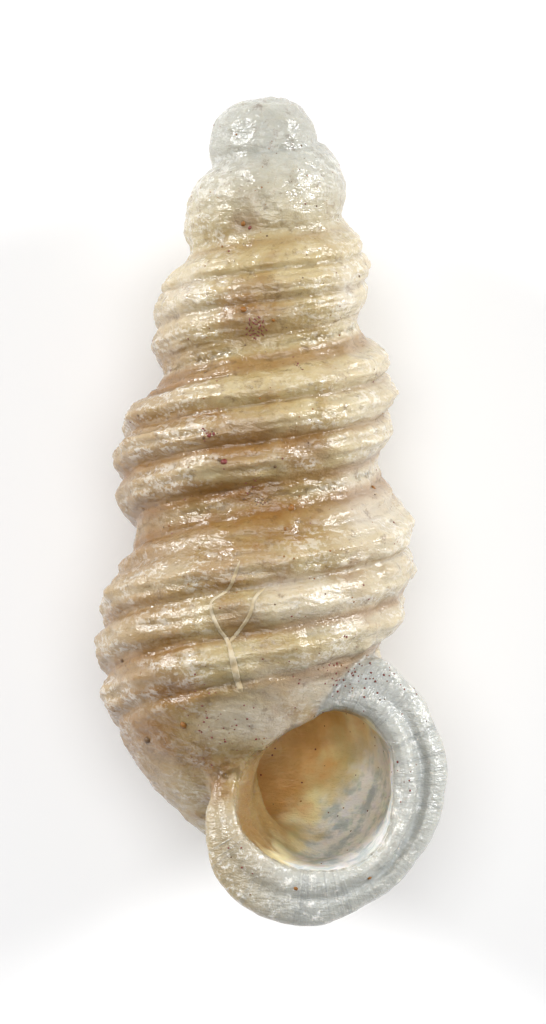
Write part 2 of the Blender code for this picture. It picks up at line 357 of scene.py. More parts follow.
RIDGE_BY_DIRECTION = (
    (0, 1.0), (40, 0.8), (75, 0.2), (120, 0.1), (180, 0.0), (270, 0.0), (310, 0.3), (335, 0.9),
)
LIFT_BY_DIRECTION = (
    (0, 1.0), (140, 1.0), (158, 0.95), (172, 0.84), (190, 0.66), (206, 0.54), (225, 0.50), (250, 0.60),
    (285, 0.92), (320, 1.0),
)
LIP_LEAN = 0.10
LEAN_STARTS = (-0.01, 0.05)
LIP_GUIDE = (0.5, 1.0, 0.0, 0.5)
LIP_STATIONS = 176
LIP_ROWS = 64


def tube_outline():
    """Outside of the last whorl's section as a table of radius by direction about the mouth."""
    section = [wall(LAST_TURN, OUTLINE_WALL_END * i / OUTLINE_STEPS) for i in range(OUTLINE_STEPS + 1)]
    section += [base(LAST_TURN, i / OUTLINE_BASE_STEPS) for i in range(OUTLINE_BASE_STEPS + 1)]
    rows = list(TUBE_INNER_SIDE)
    for radius, depth in section:
        across, down = radius - MOUTH_RADIUS, depth - MOUTH_DEPTH
        rows.append((math.degrees(math.atan2(down, across)) % 360, math.hypot(across, down)))
    return tuple(sorted(rows))


def section_at(step, degrees, tube):
    """Distance from the mouth's middle and distance forward of one step of the lip's section."""
    kind, share, forward, ridge = LIP_SECTION[step]
    inner, outer = around(INNER_EDGE, degrees), around(OUTER_EDGE, degrees)
    radius = {
        "tube": share * tube,
        "flare": tube + share * (outer - tube),
        "face": inner + share * (outer - inner),
    }[kind]
    if kind != "tube":
        forward += ridge * around(RIDGE_BY_DIRECTION, degrees)
        forward *= around(LIFT_BY_DIRECTION, degrees)
    return step, radius, forward


def lip():
    """The end of the tube with its thick double lip, a solid plug that the hollow is then cut through."""
    bm = bmesh.new()
    outline = tube_outline()
    sections = []
    for c in range(LIP_STATIONS):
        degrees = 360.0 * c / LIP_STATIONS
        tube = around(outline, degrees)
        sections.append([section_at(step, degrees, tube) for step in range(len(LIP_SECTION))])

    def place(c, r):
        column = c % LIP_STATIONS
        angle = math.radians(360.0 * column / LIP_STATIONS)
        radius, forward = along(sections[column], r / LIP_ROWS * (len(LIP_SECTION) - 1))
        across, down = radius * math.cos(angle), radius * math.sin(angle)
        lean = LIP_LEAN * across * ease(*LEAN_STARTS, forward)
        return Vector((MOUTH_RADIUS + across, lean - forward, -(MOUTH_DEPTH + down)))

    bent_grid(bm, LIP_STATIONS, LIP_ROWS, place)
    return close(bm)


plug = lip()
guides += [(vert.co.copy(), LIP_GUIDE) for vert in plug.verts]
print("lip:", len(plug.faces), "faces")

# %% [markdown]
# The tube is hollow from the mouth up into the spire. The hollow is its own closed shape, wound inside
# the wall, and is cut out afterwards, so the wall left between them is uneven in thickness.

# %% The hollow's shape
HOLLOW = (
    (0.5, 0.105, 0.420, 0.062, 0.080), (1.0, 0.120, 0.540, 0.085, 0.115), (1.5, 0.140, 0.720, 0.105, 0.145),
    (2.0, 0.160, 0.940, 0.125, 0.175), (2.5, 0.180, 1.220, 0.145, 0.205), (3.0, 0.200, 1.530, 0.165, 0.235),
    (3.5, 0.220, 1.850, 0.185, 0.255), (4.0, 0.240, 2.140, 0.210, 0.235),
)
MOUTH_STEPS = (
    (0.0, 0.0, 1.0, 0.0), (1.0, 0.2, 1.0, 0.03), (2.0, 0.6, 1.0, 0.12), (3.0, 1.0, 1.0, 0.22),
    (4.0, 1.0, 1.04, 0.28), (5.0, 1.0, 1.16, 0.335),
)
HOLLOW_SIDES = 52
HOLLOW_STEPS = 48
STEPS_IN_MOUTH = 30
HOLLOW_LEAN_REACH = 0.1
HOLLOW_GUIDE = (0.5, 0.0, 1.0, 0.5)


def hollow():
    """The coiled hollow, from its blind end in the spire to the mouth."""
    bm = bmesh.new()
    first = HOLLOW[0][0]
    coiled = round((LAST_TURN - first) * HOLLOW_STEPS)

    def place(c, r):
        degrees = 360.0 * (r % HOLLOW_SIDES) / HOLLOW_SIDES
        direction = Vector((math.cos(math.radians(degrees)), math.sin(math.radians(degrees))))
        middle, depth, half_width, half_height = along(HOLLOW, first + c / HOLLOW_STEPS)
        section = Vector((middle + half_width * direction.x, depth + half_height * direction.y))
        if c < coiled:
            return at(first + c / HOLLOW_STEPS, *section)
        last_step = MOUTH_STEPS[-1][0]
        change, size, forward = along(MOUTH_STEPS, last_step * (c - coiled) / STEPS_IN_MOUTH)
        mouth = Vector((MOUTH_RADIUS, MOUTH_DEPTH)) + size * around(INNER_EDGE, degrees) * direction
        section = section.lerp(mouth, change)
        lean = LIP_LEAN * (section.x - MOUTH_RADIUS) * ease(0, HOLLOW_LEAN_REACH, forward)
        return Vector((section.x, lean - forward, -section.y))

    bent_grid(bm, coiled + STEPS_IN_MOUTH, HOLLOW_SIDES, place)
    return close(bm)


cavity = hollow()
guides += [(vert.co.copy(), HOLLOW_GUIDE) for vert in cavity.verts]
print("hollow:", len(cavity.faces), "faces")

# %% [markdown]
# The three closed shapes become one: the lip is joined to the whorls, and the hollow is taken out of
# both.

# %% Join and cut


def in_millimetres(name, bm):
    mesh = bpy.data.meshes.new(name)
    bm.to_mesh(mesh)
    bm.free()
    obj = bpy.data.objects.new(name, mesh)
    bpy.context.scene.collection.objects.link(obj)
    return obj


def boolean(obj, operation, other):
    modifier = obj.modifiers.new(operation.title(), "BOOLEAN")
    modifier.operation = operation
    modifier.solver = "MANIFOLD"
    modifier.object = other


def joined():
    shape = in_millimetres("whorls", body)
    tools = [in_millimetres("lip", plug), in_millimetres("cavity", cavity)]
    boolean(shape, "UNION", tools[0])
    boolean(shape, "DIFFERENCE", tools[1])
    evaluated = shape.evaluated_get(bpy.context.evaluated_depsgraph_get())
    bm = bmesh.new()
    bm.from_mesh(evaluated.data)
    for obj in (shape, *tools):
        bpy.data.objects.remove(obj, do_unlink=True)
    return bm


shell_bm = joined()
print("joined:", len(shell_bm.faces), "faces,", open_edges(shell_bm), "open edges")

# %% [markdown]
# The finish follows the growth: crests of the cords are paler than the grooves, as painted light on the
# crests and painted shade in the grooves, the lip is greyer than the whorls, and the inside is stained
# and painted lighter, as painted light in the mouth. Each of these is a value on the points of the mesh,
# copied from the nearest point of the guide that the shape was made of, and blurred a little so that none
# ends in a step. The place across the whorl stays sharp, because fine stripes are drawn from it.

# %% Masks on the mesh
MASKS = (("crest", 3), ("lip", 12), ("inside", 3))


def add_masks(bm):
    tree = kdtree.KDTree(len(guides))
    for i, (place, _) in enumerate(guides):
        tree.insert(place, i)
    tree.balance()
    bm.verts.index_update()
    nearest = [guides[tree.find(vert.co)[1]][1] for vert in bm.verts]
    across = bm.verts.layers.float.new("across")
    for vert, found in zip(bm.verts, nearest):
        vert[across] = found[3]
    beside = [[vert.index, *(e.other_vert(vert).index for e in vert.link_edges)] for vert in bm.verts]
    for k, (name, blur) in enumerate(MASKS):
        values = [found[k] for found in nearest]
        for _ in range(blur):
            values = [sum(values[i] for i in row) / len(row) for row in beside]
        layer = bm.verts.layers.float.new(name)
        for vert, value in zip(bm.verts, values):
            vert[layer] = value
    return len(guides)


print("guide points:", add_masks(shell_bm))

# %% [markdown]
# The mesh is softened first where shapes meet: at the sutures, round the lip's join and at the lip's
# end. No part of a real shell is perfectly smooth, so every point then moves a few thousandths of a
# millimetre along its normal by a noise of small knobs. Last, the shell is laid in its pose, the little
# that is under the floor is ground off, and triangles that enclose nothing are deleted.

# %% Roughen and lay it on the floor
SOFTENING = 0.5
SUTURE_SOFT = 0.05
SUTURE_PASSES = 8
LIP_JOIN = (0.04, 0.94)
LIP_JOIN_INSIDE = 0.02
LIP_JOIN_PASSES = 14
LIP_END = (-0.05, -0.17, -2.12)
LIP_END_REACH = 0.15
LIP_END_PASSES = 60
KNOB_HEIGHT = 0.0065
KNOB_WAVES = 15.0
FINE_KNOB_SHARE = 0.6
FINE_KNOB_WAVES = 2.3
LIP_CALM = 0.45
FLOOR_CUT = 1e-9


def soften(bm, verts, passes):
    axes = {"use_axis_x": True, "use_axis_y": True, "use_axis_z": True}
    for _ in range(passes):
        bmesh.ops.smooth_vert(bm, verts=verts, factor=SOFTENING, **axes)
    return len(verts)


def at_sutures(bm):
    across = bm.verts.layers.float["across"]
    return [vert for vert in bm.verts if not SUTURE_SOFT < vert[across] < 1 - SUTURE_SOFT]


def at_lip_join(bm):
    lip_layer, inside = bm.verts.layers.float["lip"], bm.verts.layers.float["inside"]
    low, high = LIP_JOIN
    joint = [vert for vert in bm.verts if low < vert[lip_layer] < high]
    return [vert for vert in joint if vert[inside] < LIP_JOIN_INSIDE]


def at_lip_end(bm):
    """The end of the lip on the axis side, where it sinks into the callus."""
    middle = Vector(LIP_END)
    return [vert for vert in bm.verts if (vert.co - middle).length < LIP_END_REACH]


def roughen(bm):
    bm.normal_update()
    lip_layer = bm.verts.layers.float["lip"]
    moves = []
    for vert in bm.verts:
        height = noise.noise(vert.co * KNOB_WAVES)
        height += FINE_KNOB_SHARE * noise.noise(vert.co * KNOB_WAVES * FINE_KNOB_WAVES)
        moves.append(vert.normal * height * KNOB_HEIGHT * (1 - LIP_CALM * vert[lip_layer]))
    for vert, move in zip(bm.verts, moves):
        vert.co += move


def drop_fins(bm):
    """Deletes triangles that lie twice on the same three corners: they enclose nothing."""
    same = {}
    for face in bm.faces:
        same.setdefault(frozenset(face.verts), []).append(face)
    fins = [face for faces in same.values() if len(faces) > 1 for face in faces]
    bmesh.ops.delete(bm, geom=fins, context="FACES")


def settle(bm, pose):
    bmesh.ops.transform(bm, matrix=pose, verts=bm.verts)
    geometry = [*bm.verts, *bm.edges, *bm.faces]
    ground = {"plane_co": (0, 0, 0), "plane_no": (0, 0, 1), "clear_inner": True}
    bmesh.ops.bisect_plane(bm, geom=geometry, dist=FLOOR_CUT, **ground)
    bmesh.ops.holes_fill(bm, edges=[e for e in bm.edges if e.is_boundary], sides=0)
    bmesh.ops.triangulate(bm, faces=bm.faces)
    drop_fins(bm)


def new_piece(name, bm):
    mesh = bpy.data.meshes.new(name)
    bm.to_mesh(mesh)
    bm.free()
    mesh.shade_smooth()
    obj = bpy.data.objects.new(name, mesh)
    bpy.context.scene.collection.objects.link(obj)
    return obj


print("softened at the sutures:", soften(shell_bm, at_sutures(shell_bm), SUTURE_PASSES), "points")
print("softened at the lip's join:", soften(shell_bm, at_lip_join(shell_bm), LIP_JOIN_PASSES), "points")
print("softened at the lip's end:", soften(shell_bm, at_lip_end(shell_bm), LIP_END_PASSES), "points")
roughen(shell_bm)
settle(shell_bm, POSE)
print("triangles:", len(shell_bm.faces), "open edges:", open_edges(shell_bm))
surface = BVHTree.FromBMesh(shell_bm)
shell = new_piece("lironoba_shell", shell_bm)

# %% [markdown]
# Marks are laid on the surface from the front: a place is given as distance across and depth below the
# tip, and a ray finds the wall there. Dirt grains are tiny flattened lumps sunk to half in the wall.
# The named ones stand where the photograph shows them, and a thin scatter goes all round.

# %% Dirt grains
MAROON = (0.190, 0.030, 0.026)
OCHRE = (0.270, 0.105, 0.010)
UMBER = (0.130, 0.072, 0.028)
GRAIN_FLATNESS = 0.45
NAMED_GRAINS = (
    (-0.075, 0.675, 0.0105, OCHRE), (-0.087, 0.406, 0.0085, OCHRE), (-0.066, 0.418, 0.0060, MAROON),
    (-0.114, 1.151, 0.0105, MAROON), (-0.128, 1.146, 0.0070, UMBER), (-0.164, 1.073, 0.0065, MAROON),
    (-0.150, 1.066, 0.0050, MAROON), (-0.180, 1.080, 0.0050, UMBER), (0.100, 1.285, 0.0120, OCHRE),
    (0.354, 1.209, 0.0110, OCHRE), (-0.205, 1.974, 0.0120, OCHRE), (-0.318, 2.029, 0.0120, UMBER),
    (-0.406, 1.784, 0.0080, UMBER), (0.020, 0.705, 0.0060, OCHRE), (0.166, 2.467, 0.0070, OCHRE),
    (0.394, 2.426, 0.0075, OCHRE), (0.045, 1.160, 0.0060, UMBER), (0.085, 1.350, 0.0055, OCHRE),
)
STAR = (-0.033, 0.732, 0.036, 24)
STRANDS = (
    (0.102, 0.838, 0.90, 0.050), (-0.020, 1.225, -0.85, 0.085), (-0.160, 1.065, 0.30, 0.060),
    (0.010, 1.270, -0.55, 0.050),
)
STRAND_GRAINS = 11
STRAND_STRAY = 0.007
STRAND_SIZES = (0.0012, 0.0034)
STRAND_LENGTH = 1.5
STRAND_ROLL = 3
NAMED_LENGTH = 1.25
STAR_START = 0.2
STAR_SPREAD = 0.8
STAR_SIZE = 0.0028
STAR_LENGTH = 2.6
STAR_TURN = 2.4
DOT_SIZES = (0.0018, 0.0045)
FRONT_SIZES = (0.0015, 0.0042)
FRONT_ACROSS = (-0.45, 0.45)
FRONT_DEPTHS = (0.05, 2.5)
ROUND_SIZES = (0.0015, 0.0045)
ROUND_DEPTHS = (0.05, 2.3)
FLOOR_CLEAR = 4
RAY_START = 2
SCATTER_FRONT = 260
SCATTER_ROUND = 150
DOTS_BY_MOUTH = ((0.33, 1.80, 0.17, 0.09, 60), (-0.08, 1.98, 0.17, 0.16, 45), (0.45, 2.05, 0.12, 0.25, 16))
chance = random.Random(5)


def on_surface(place, aim):
    """Point and normal where a ray from outside meets the shell, both in the laid frame."""
    start = POSE @ (Vector(place) - Vector(aim) * RAY_START)
    hit = surface.ray_cast(start, (POSE.to_3x3() @ Vector(aim)).normalized())
    return hit[0], hit[1]


def add_grain(bm, found, radius, tint, length=1.0, roll=0.0):
    place, normal = found
    if place is None or place.z < FLOOR_CLEAR * radius * MM:
        return
    made = bmesh.ops.create_icosphere(bm, subdivisions=1, radius=radius * MM)["verts"]
    shape = Matrix.Diagonal((length, 1.0, GRAIN_FLATNESS, 1.0))
    turn = normal.to_track_quat("Z", "X").to_matrix().to_4x4() @ Matrix.Rotation(roll, 4, "Z")
    bmesh.ops.transform(bm, matrix=Matrix.Translation(place) @ turn @ shape, verts=made)
    for vert in made:
        vert[bm.verts.layers.float_color["tint"]] = (*tint, 1.0)


def front(x, depth):
    return on_surface((x, 0, -depth), (0, 1, 0))


def dirt():
    bm = bmesh.new()
    bm.verts.layers.float_color.new("tint")
    for x, depth, radius, tint in NAMED_GRAINS:
        add_grain(bm, front(x, depth), radius, tint, NAMED_LENGTH, chance.random())
    x, depth, reach, count = STAR
    for i in range(count):
        angle = STAR_TURN * i
        far = reach * (STAR_START + (1 - STAR_START) * (i / count)) ** STAR_SPREAD
        spot = front(x + far * math.cos(angle), depth + far * math.sin(angle))
        add_grain(bm, spot, STAR_SIZE, MAROON, STAR_LENGTH, angle)
    for x, depth, angle, length in STRANDS:
        for i in range(STRAND_GRAINS):
            far = length * (i / (STRAND_GRAINS - 1) - 0.5)
            stray = chance.gauss(0, STRAND_STRAY)
            spot = front(x + far * math.cos(angle), depth + far * math.sin(angle) + stray)
            radius = chance.uniform(*STRAND_SIZES)
            tint = chance.choice((MAROON, UMBER))
            add_grain(bm, spot, radius, tint, STRAND_LENGTH, chance.random() * STRAND_ROLL)
    for x, depth, wide, high, count in DOTS_BY_MOUTH:
        for _ in range(count):
            spot = front(chance.gauss(x, wide / 2), chance.gauss(depth, high / 2))
            add_grain(bm, spot, chance.uniform(*DOT_SIZES), MAROON)
    for _ in range(SCATTER_FRONT):
        spot = front(chance.uniform(*FRONT_ACROSS), chance.uniform(*FRONT_DEPTHS))
        add_grain(bm, spot, chance.uniform(*FRONT_SIZES), chance.choice((MAROON, OCHRE, OCHRE, UMBER)))
    for _ in range(SCATTER_ROUND):
        angle = chance.uniform(0, 2 * math.pi)
        aim = (math.cos(angle), math.sin(angle), 0)
        spot = on_surface((0, 0, -chance.uniform(*ROUND_DEPTHS)), aim)
        add_grain(bm, spot, chance.uniform(*ROUND_SIZES), chance.choice((MAROON, OCHRE, UMBER)))
    return bm


dirt_bm = dirt()
print("dirt:", len(dirt_bm.faces), "faces")
dirt_piece = new_piece("dirt_grains", dirt_bm)

# %% [markdown]
# A pale branching thread lies fused on the front of the last whorl. Each branch is a thin tube bent
# from a flat grid along a line of places on the wall, sunk to half and tapered at its ends. The long
# branch is thicker in its lower part.

# %% Pale thread
THREAD_LINES = (
    ((-0.051, 1.453), (-0.081, 1.541), (-0.135, 1.590), (-0.110, 1.663), (-0.074, 1.714), (-0.044, 1.821),
     (-0.027, 1.861)),
    ((-0.076, 1.712), (-0.040, 1.665), (-0.013, 1.618), (0.000, 1.568), (0.030, 1.535)),
)
THREAD_RADIUS = 0.0056
THREAD_FLATNESS = 0.25
THREAD_BLOB = (1.80, 0.07, 1.0)
THREAD_SIDES = 8
THREAD_STEPS = 16
THREAD_END = 0.15
THREAD_TAPER_STEPS = 6
THREAD_MERGE = 1e-9


def thread():
    bm = bmesh.new()
    for line in THREAD_LINES:
        table = [(float(i), *spot) for i, spot in enumerate(line)]
        count = THREAD_STEPS * (len(line) - 1)
        spots = [along(table, i / THREAD_STEPS) for i in range(count + 1)]
        found = [front(*spot) for spot in spots]

        def place(c, r):
            middle, normal = found[c]
            ahead = (found[min(c + 1, count)][0] - found[max(c - 1, 0)][0]).normalized()
            aside = ahead.cross(normal).normalized()
            depth, reach, growth = THREAD_BLOB
            swell = 1 + growth * math.exp(-((spots[c][1] - depth) / reach) ** 2)
            taper = min(1.0, THREAD_END + min(c, count - c) / THREAD_TAPER_STEPS)
            angle = 2 * math.pi * (r % THREAD_SIDES) / THREAD_SIDES
            section = aside * math.cos(angle) + normal * THREAD_FLATNESS * math.sin(angle)
            return middle + section * THREAD_RADIUS * MM * swell * taper

        bent_grid(bm, count, THREAD_SIDES, place)
    bmesh.ops.remove_doubles(bm, verts=bm.verts, dist=THREAD_MERGE)
    bmesh.ops.holes_fill(bm, edges=[e for e in bm.edges if e.is_boundary], sides=0)
    bmesh.ops.triangulate(bm, faces=bm.faces)
    bmesh.ops.recalc_face_normals(bm, faces=bm.faces)
    return bm


thread_bm = thread()
print("thread:", len(thread_bm.faces), "faces,", open_edges(thread_bm), "open edges")
thread_piece = new_piece("pale_thread", thread_bm)

# %% [markdown]
# Nodes are added by one small helper, so that each effect reads as a list of its steps.

# %% Node helpers


def put(tree, kind, inputs=None, **settings):
    """Adds a node. Inputs are given by name or number, as a value or as the socket that feeds them."""
    node = tree.nodes.new("ShaderNode" + kind)
    for name, value in settings.items():
        setattr(node, name, value)
    for name, value in (inputs or {}).items():
        if isinstance(value, bpy.types.NodeSocket):
            tree.links.new(value, node.inputs[name])
        else:
            node.inputs[name].default_value = value
    return node


def maths(tree, operation, a, b=0.0):
    return put(tree, "Math", {0: a, 1: b}, operation=operation).outputs[0]


def product(tree, first, *others):
    for other in others:
        first = maths(tree, "MULTIPLY", first, other)
    return first


def ramp(tree, value, start, end, low=0.0, high=1.0):
    """Smooth change of a value from low at start to high at end."""
    ends = {"From Min": start, "From Max": end, "To Min": low, "To Max": high}
    return put(tree, "MapRange", {"Value": value, **ends}, interpolation_type="SMOOTHSTEP").outputs["Result"]


def blend(tree, factor, a, b):
    return put(tree, "Mix", {0: factor, 6: a, 7: b}, data_type="RGBA").outputs[2]


def vector(tree, operation, a, b):
    return put(tree, "VectorMath", {0: a, 1: b}, operation=operation).outputs[0]


def coordinate(tree, place, axis):
    """One of the three coordinates of a place, 0 to 2."""
    return put(tree, "SeparateXYZ", {0: place}).outputs[axis]


def noise_at(tree, place, scale, detail=3.0, roughness=0.5, distortion=0.0):
    """Noise whose scale is in waves to one unit of the place: millimetres on the shell."""
    look = {"Scale": scale, "Detail": detail, "Roughness": roughness, "Distortion": distortion}
    return put(tree, "TexNoise", {"Vector": place, **look}).outputs[0]


def shade(red, green, blue):
    """A colour given as it looks on a screen, 0 to 255."""
    return (*Color((red / 255, green / 255, blue / 255)).from_srgb_to_scene_linear(), 1.0)


def new_group(name, inputs, outputs):
    """Shader node group with named sockets; returns the tree and its input and output sockets by name."""
    tree = bpy.data.node_groups.new(name, "ShaderNodeTree")
    for label, kind in inputs:
        tree.interface.new_socket(label, in_out="INPUT", socket_type="NodeSocket" + kind)
    for label, kind in outputs:
        tree.interface.new_socket(label, in_out="OUTPUT", socket_type="NodeSocket" + kind)
    given = tree.nodes.new("NodeGroupInput").outputs
    result = tree.nodes.new("NodeGroupOutput").inputs
    return tree, given, result


print("node helpers ready")

# %% [markdown]
# The patterns on the shell are drawn in its own frame, in millimetres. A Mapping node turns the
# object's coordinates back into it, so a pattern keeps its place whatever way the shell lies.

# %% Place on the shell


def place_group():
    tree, _, result = new_group("place on the shell", [], [("Place", "Vector")])
    back = POSE.inverted()
    coordinates = put(tree, "TexCoord").outputs["Object"]
    move = {"Location": back.translation, "Rotation": back.to_euler(), "Scale": back.to_scale()}
    mapping = put(tree, "Mapping", {"Vector": coordinates, **move}, vector_type="POINT")
    tree.links.new(mapping.outputs[0], result["Place"])
    return tree


PLACE = place_group()
print("mapping scale:", [round(x) for x in POSE.inverted().to_scale()])

# %% [markdown]
# Stains and pale hazes lie in soft patches. One group makes the mask of one patch: an ellipse with a
# wavy, soft edge, given by its middle and its half-widths in millimetres.

# %% Soft patch
EDGE_NOISE = (7.0, 3.0, 0.6)
EDGE_SWAY = 1.3
EDGE_SOFT = (1.75, 0.85)


def patch_group():
    inputs = [("Place", "Vector"), ("Middle", "Vector"), ("Size", "Vector")]
    tree, given, result = new_group("soft patch", inputs, [("Mask", "Float")])
    offset = vector(tree, "SUBTRACT", given["Place"], given["Middle"])
    scaled = vector(tree, "DIVIDE", offset, given["Size"])
    distance = put(tree, "VectorMath", {0: scaled}, operation="LENGTH").outputs["Value"]
    sway = product(tree, noise_at(tree, given["Place"], *EDGE_NOISE), EDGE_SWAY)
    wavy = maths(tree, "ADD", distance, sway)
    tree.links.new(ramp(tree, wavy, *EDGE_SOFT), result["Mask"])
    return tree


PATCH = patch_group()
print("patch group:", len(PATCH.nodes), "nodes")

# %% [markdown]
# The wall is crystal laid down in layers. Up close it is frosted: fine grains break each highlight into
# sparks, and they lie in dashes along the cords. The heights feed a Bump node. The frost is a mask for the
# gloss, and for white painted on the flanks of the cords as painted highlights.

# %% Grain and frost
ALONG_CORDS = (24.0, 24.0, 64.0)
DASH_NOISE = (1.0, 3.0, 0.6)
FINE_NOISE = (85.0, 2.0, 0.6)
FINE_SHARE = 0.45
STRIPES_ACROSS = 23
STRIPE_SHARE = 0.14
STRIPE_GAP_NOISE = (8.0, 2.0)
STRIPE_GAPS = (0.40, 0.65)
STRIPES_FROM = (-0.35, -0.80)
BAND_WAVES = (5.0, 5.0, 13.0)
BAND_NOISE = (1.0, 2.0)
BAND_GAPS = (0.36, 0.60)
SPARK_FINENESS = 0.7
SPARKS = (0.80, 1.00)


def grain_group():
    inputs = [("Place", "Vector"), ("Across", "Float")]
    tree, given, result = new_group("crystal grain", inputs, [("Height", "Float"), ("Frost_and_glint", "Float")])
    place = given["Place"]
    fine = noise_at(tree, place, *FINE_NOISE)
    dashes = noise_at(tree, vector(tree, "MULTIPLY", place, ALONG_CORDS), *DASH_NOISE)
    stripe = maths(tree, "SINE", product(tree, given["Across"], 2 * math.pi * STRIPES_ACROSS))
    broken = ramp(tree, noise_at(tree, place, *STRIPE_GAP_NOISE), *STRIPE_GAPS)
    below_tip = ramp(tree, coordinate(tree, place, 2), *STRIPES_FROM)
    stripe = product(tree, stripe, broken, product(tree, below_tip, STRIPE_SHARE))
    height = maths(tree, "ADD", product(tree, fine, FINE_SHARE), dashes)
    tree.links.new(maths(tree, "ADD", height, stripe), result["Height"])
    bands = noise_at(tree, vector(tree, "MULTIPLY", place, BAND_WAVES), *BAND_NOISE)
    sparks = maths(tree, "ADD", dashes, product(tree, fine, SPARK_FINENESS))
    frost_and_glint = product(tree, ramp(tree, sparks, *SPARKS), ramp(tree, bands, *BAND_GAPS))
    tree.links.new(frost_and_glint, result["Frost_and_glint"])
    return tree


GRAIN = grain_group()
print("grain group:", len(GRAIN.nodes), "nodes")

# %% [markdown]
# The wall's colour runs from pale cream through horn to brown. Soft clouds and patches say
# where the brown shows through, the crests are paler than the grooves, and the bulbs at the tip are
# grey and frosted.
# Painted light and shade: white glints, paler crests and right side, browner grooves, darker left flank.

# %% Wall colour
PALE = shade(198, 185, 152)
TAN = shade(166, 147, 102)
BROWN = shade(130, 88, 34)
DARK = shade(92, 64, 34)
FROST = shade(168, 170, 164)
HAZE = shade(198, 188, 170)
WHITE = shade(240, 238, 232)
BROWN_PATCHES = (
    (-0.05, 0.66, 0.17, 0.13), (-0.08, 1.09, 0.24, 0.13), (0.12, 1.10, 0.14, 0.09),
    (-0.14, 1.24, 0.20, 0.05), (-0.12, 1.49, 0.16, 0.10), (-0.05, 1.63, 0.10, 0.08),
    (-0.27, 1.86, 0.22, 0.07), (-0.31, 2.02, 0.14, 0.12), (-0.08, 0.41, 0.07, 0.06),
)
PALE_PATCHES = (
    (0.16, 1.58, 0.20, 0.12), (0.25, 1.84, 0.34, 0.14), (0.05, 1.96, 0.26, 0.10), (0.36, 1.25, 0.16, 0.20),
    (-0.27, 0.62, 0.12, 0.14), (0.27, 0.62, 0.10, 0.16),
)
BROWN_PATCH_SHARE = 0.75
PALE_PATCH_SHARE = 0.85
PATCH_FORWARD = -0.4
PATCH_THICKNESS = 0.4
CLOUD_NOISE = (3.2, 5.0, 0.62, 0.4)
CLOUD_SHARE = 1.6
STAIN_MIDDLE = (0.42, 0.05)
STAIN_MIDDLE_SHARE = 0.22
STAIN_LOW = (-0.6, -1.6)
STAIN_LOW_SHARE = 0.16
TAN_FROM = (0.62, 1.15)
BROWN_FROM = (1.00, 1.50)
RIGHT_PAINTED_LIGHT = (0.15, 0.45, 0.0, 0.6)
LEFT_SHADE = (-0.08, -0.34)
LEFT_SHADE_DEPTHS = (-0.45, -0.95)
LEFT_SHADE_SHARE = 0.62
TIP_FROST = (-0.50, -0.14)
TIP_FROST_SHARE = 0.85
CREST_PAINTED_LIGHT = (0.45, 0.95, 0.0, 0.30)
GROOVE_PAINTED_SHADE = (0.45, 0.02, 0.0, 0.62)
FLECK_NOISE = (26.0, 4.0, 0.7)
FLECKS = (0.54, 0.72, 0.0, 0.5)
FLANK_PAINTED_GLINTS = (0.04, 0.20, 0.25, 1.0)
CREST_PAINTED_GLINTS = (0.15, 0.55)
PAINTED_GLINT_SHARE = 0.42


def patches(tree, place, rows):
    """One mask for several patches on the front of the shell."""
    total = 0.0
    for x, depth, wide, high in rows:
        ellipse = {"Middle": (x, PATCH_FORWARD, -depth), "Size": (wide, PATCH_THICKNESS, high)}
        mask = put(tree, "Group", {"Place": place, **ellipse}, node_tree=PATCH).outputs[0]
        total = maths(tree, "MAXIMUM", mask, total)
    return total


def wall_colour_group():
    inputs = [("Place", "Vector"), ("Crest", "Float"), ("Frost_and_glint", "Float")]
    tree, given, result = new_group("wall colour", inputs, [("Color", "Color")])
    place, crest = given["Place"], given["Crest"]
    x, z = coordinate(tree, place, 0), coordinate(tree, place, 2)
    aside = maths(tree, "ABSOLUTE", x)
    clouds = noise_at(tree, place, *CLOUD_NOISE)
    middle = product(tree, ramp(tree, aside, *STAIN_MIDDLE), STAIN_MIDDLE_SHARE)
    low = product(tree, ramp(tree, z, *STAIN_LOW), STAIN_LOW_SHARE)
    stain = maths(tree, "ADD", maths(tree, "ADD", middle, low), product(tree, clouds, CLOUD_SHARE))
    colour = blend(tree, ramp(tree, stain, *TAN_FROM), PALE, TAN)
    colour = blend(tree, ramp(tree, stain, *BROWN_FROM), colour, BROWN)
    brown = product(tree, patches(tree, place, BROWN_PATCHES), BROWN_PATCH_SHARE)
    colour = blend(tree, brown, colour, BROWN)
    pale = product(tree, patches(tree, place, PALE_PATCHES), PALE_PATCH_SHARE)
    colour = blend(tree, pale, colour, HAZE)
    # painted light: the right side is made paler
    colour = blend(tree, ramp(tree, x, *RIGHT_PAINTED_LIGHT), colour, HAZE)
    # painted shade: the left flank, lower down the whorls, is darkened towards brown
    shaded = product(tree, ramp(tree, x, *LEFT_SHADE), ramp(tree, z, *LEFT_SHADE_DEPTHS), LEFT_SHADE_SHARE)
    colour = blend(tree, shaded, colour, BROWN)
    colour = blend(tree, product(tree, ramp(tree, z, *TIP_FROST), TIP_FROST_SHARE), colour, FROST)
    # painted light paling the crests, and painted shade browning the grooves below
    colour = blend(tree, ramp(tree, crest, *CREST_PAINTED_LIGHT), colour, PALE)
    colour = blend(tree, ramp(tree, crest, *GROOVE_PAINTED_SHADE), colour, BROWN)
    flecks = ramp(tree, noise_at(tree, place, *FLECK_NOISE), *FLECKS)
    colour = blend(tree, flecks, colour, DARK)
    # painted highlights: white painted on the frost along the crests of the flanks
    painted_glints = product(tree, given["Frost_and_glint"], ramp(tree, aside, *FLANK_PAINTED_GLINTS), ramp(tree, crest, *CREST_PAINTED_GLINTS))
    tree.links.new(blend(tree, product(tree, painted_glints, PAINTED_GLINT_SHARE), colour, WHITE), result["Color"])
    return tree


WALL_COLOUR = wall_colour_group()
print("wall colour group:", len(WALL_COLOUR.nodes), "nodes")
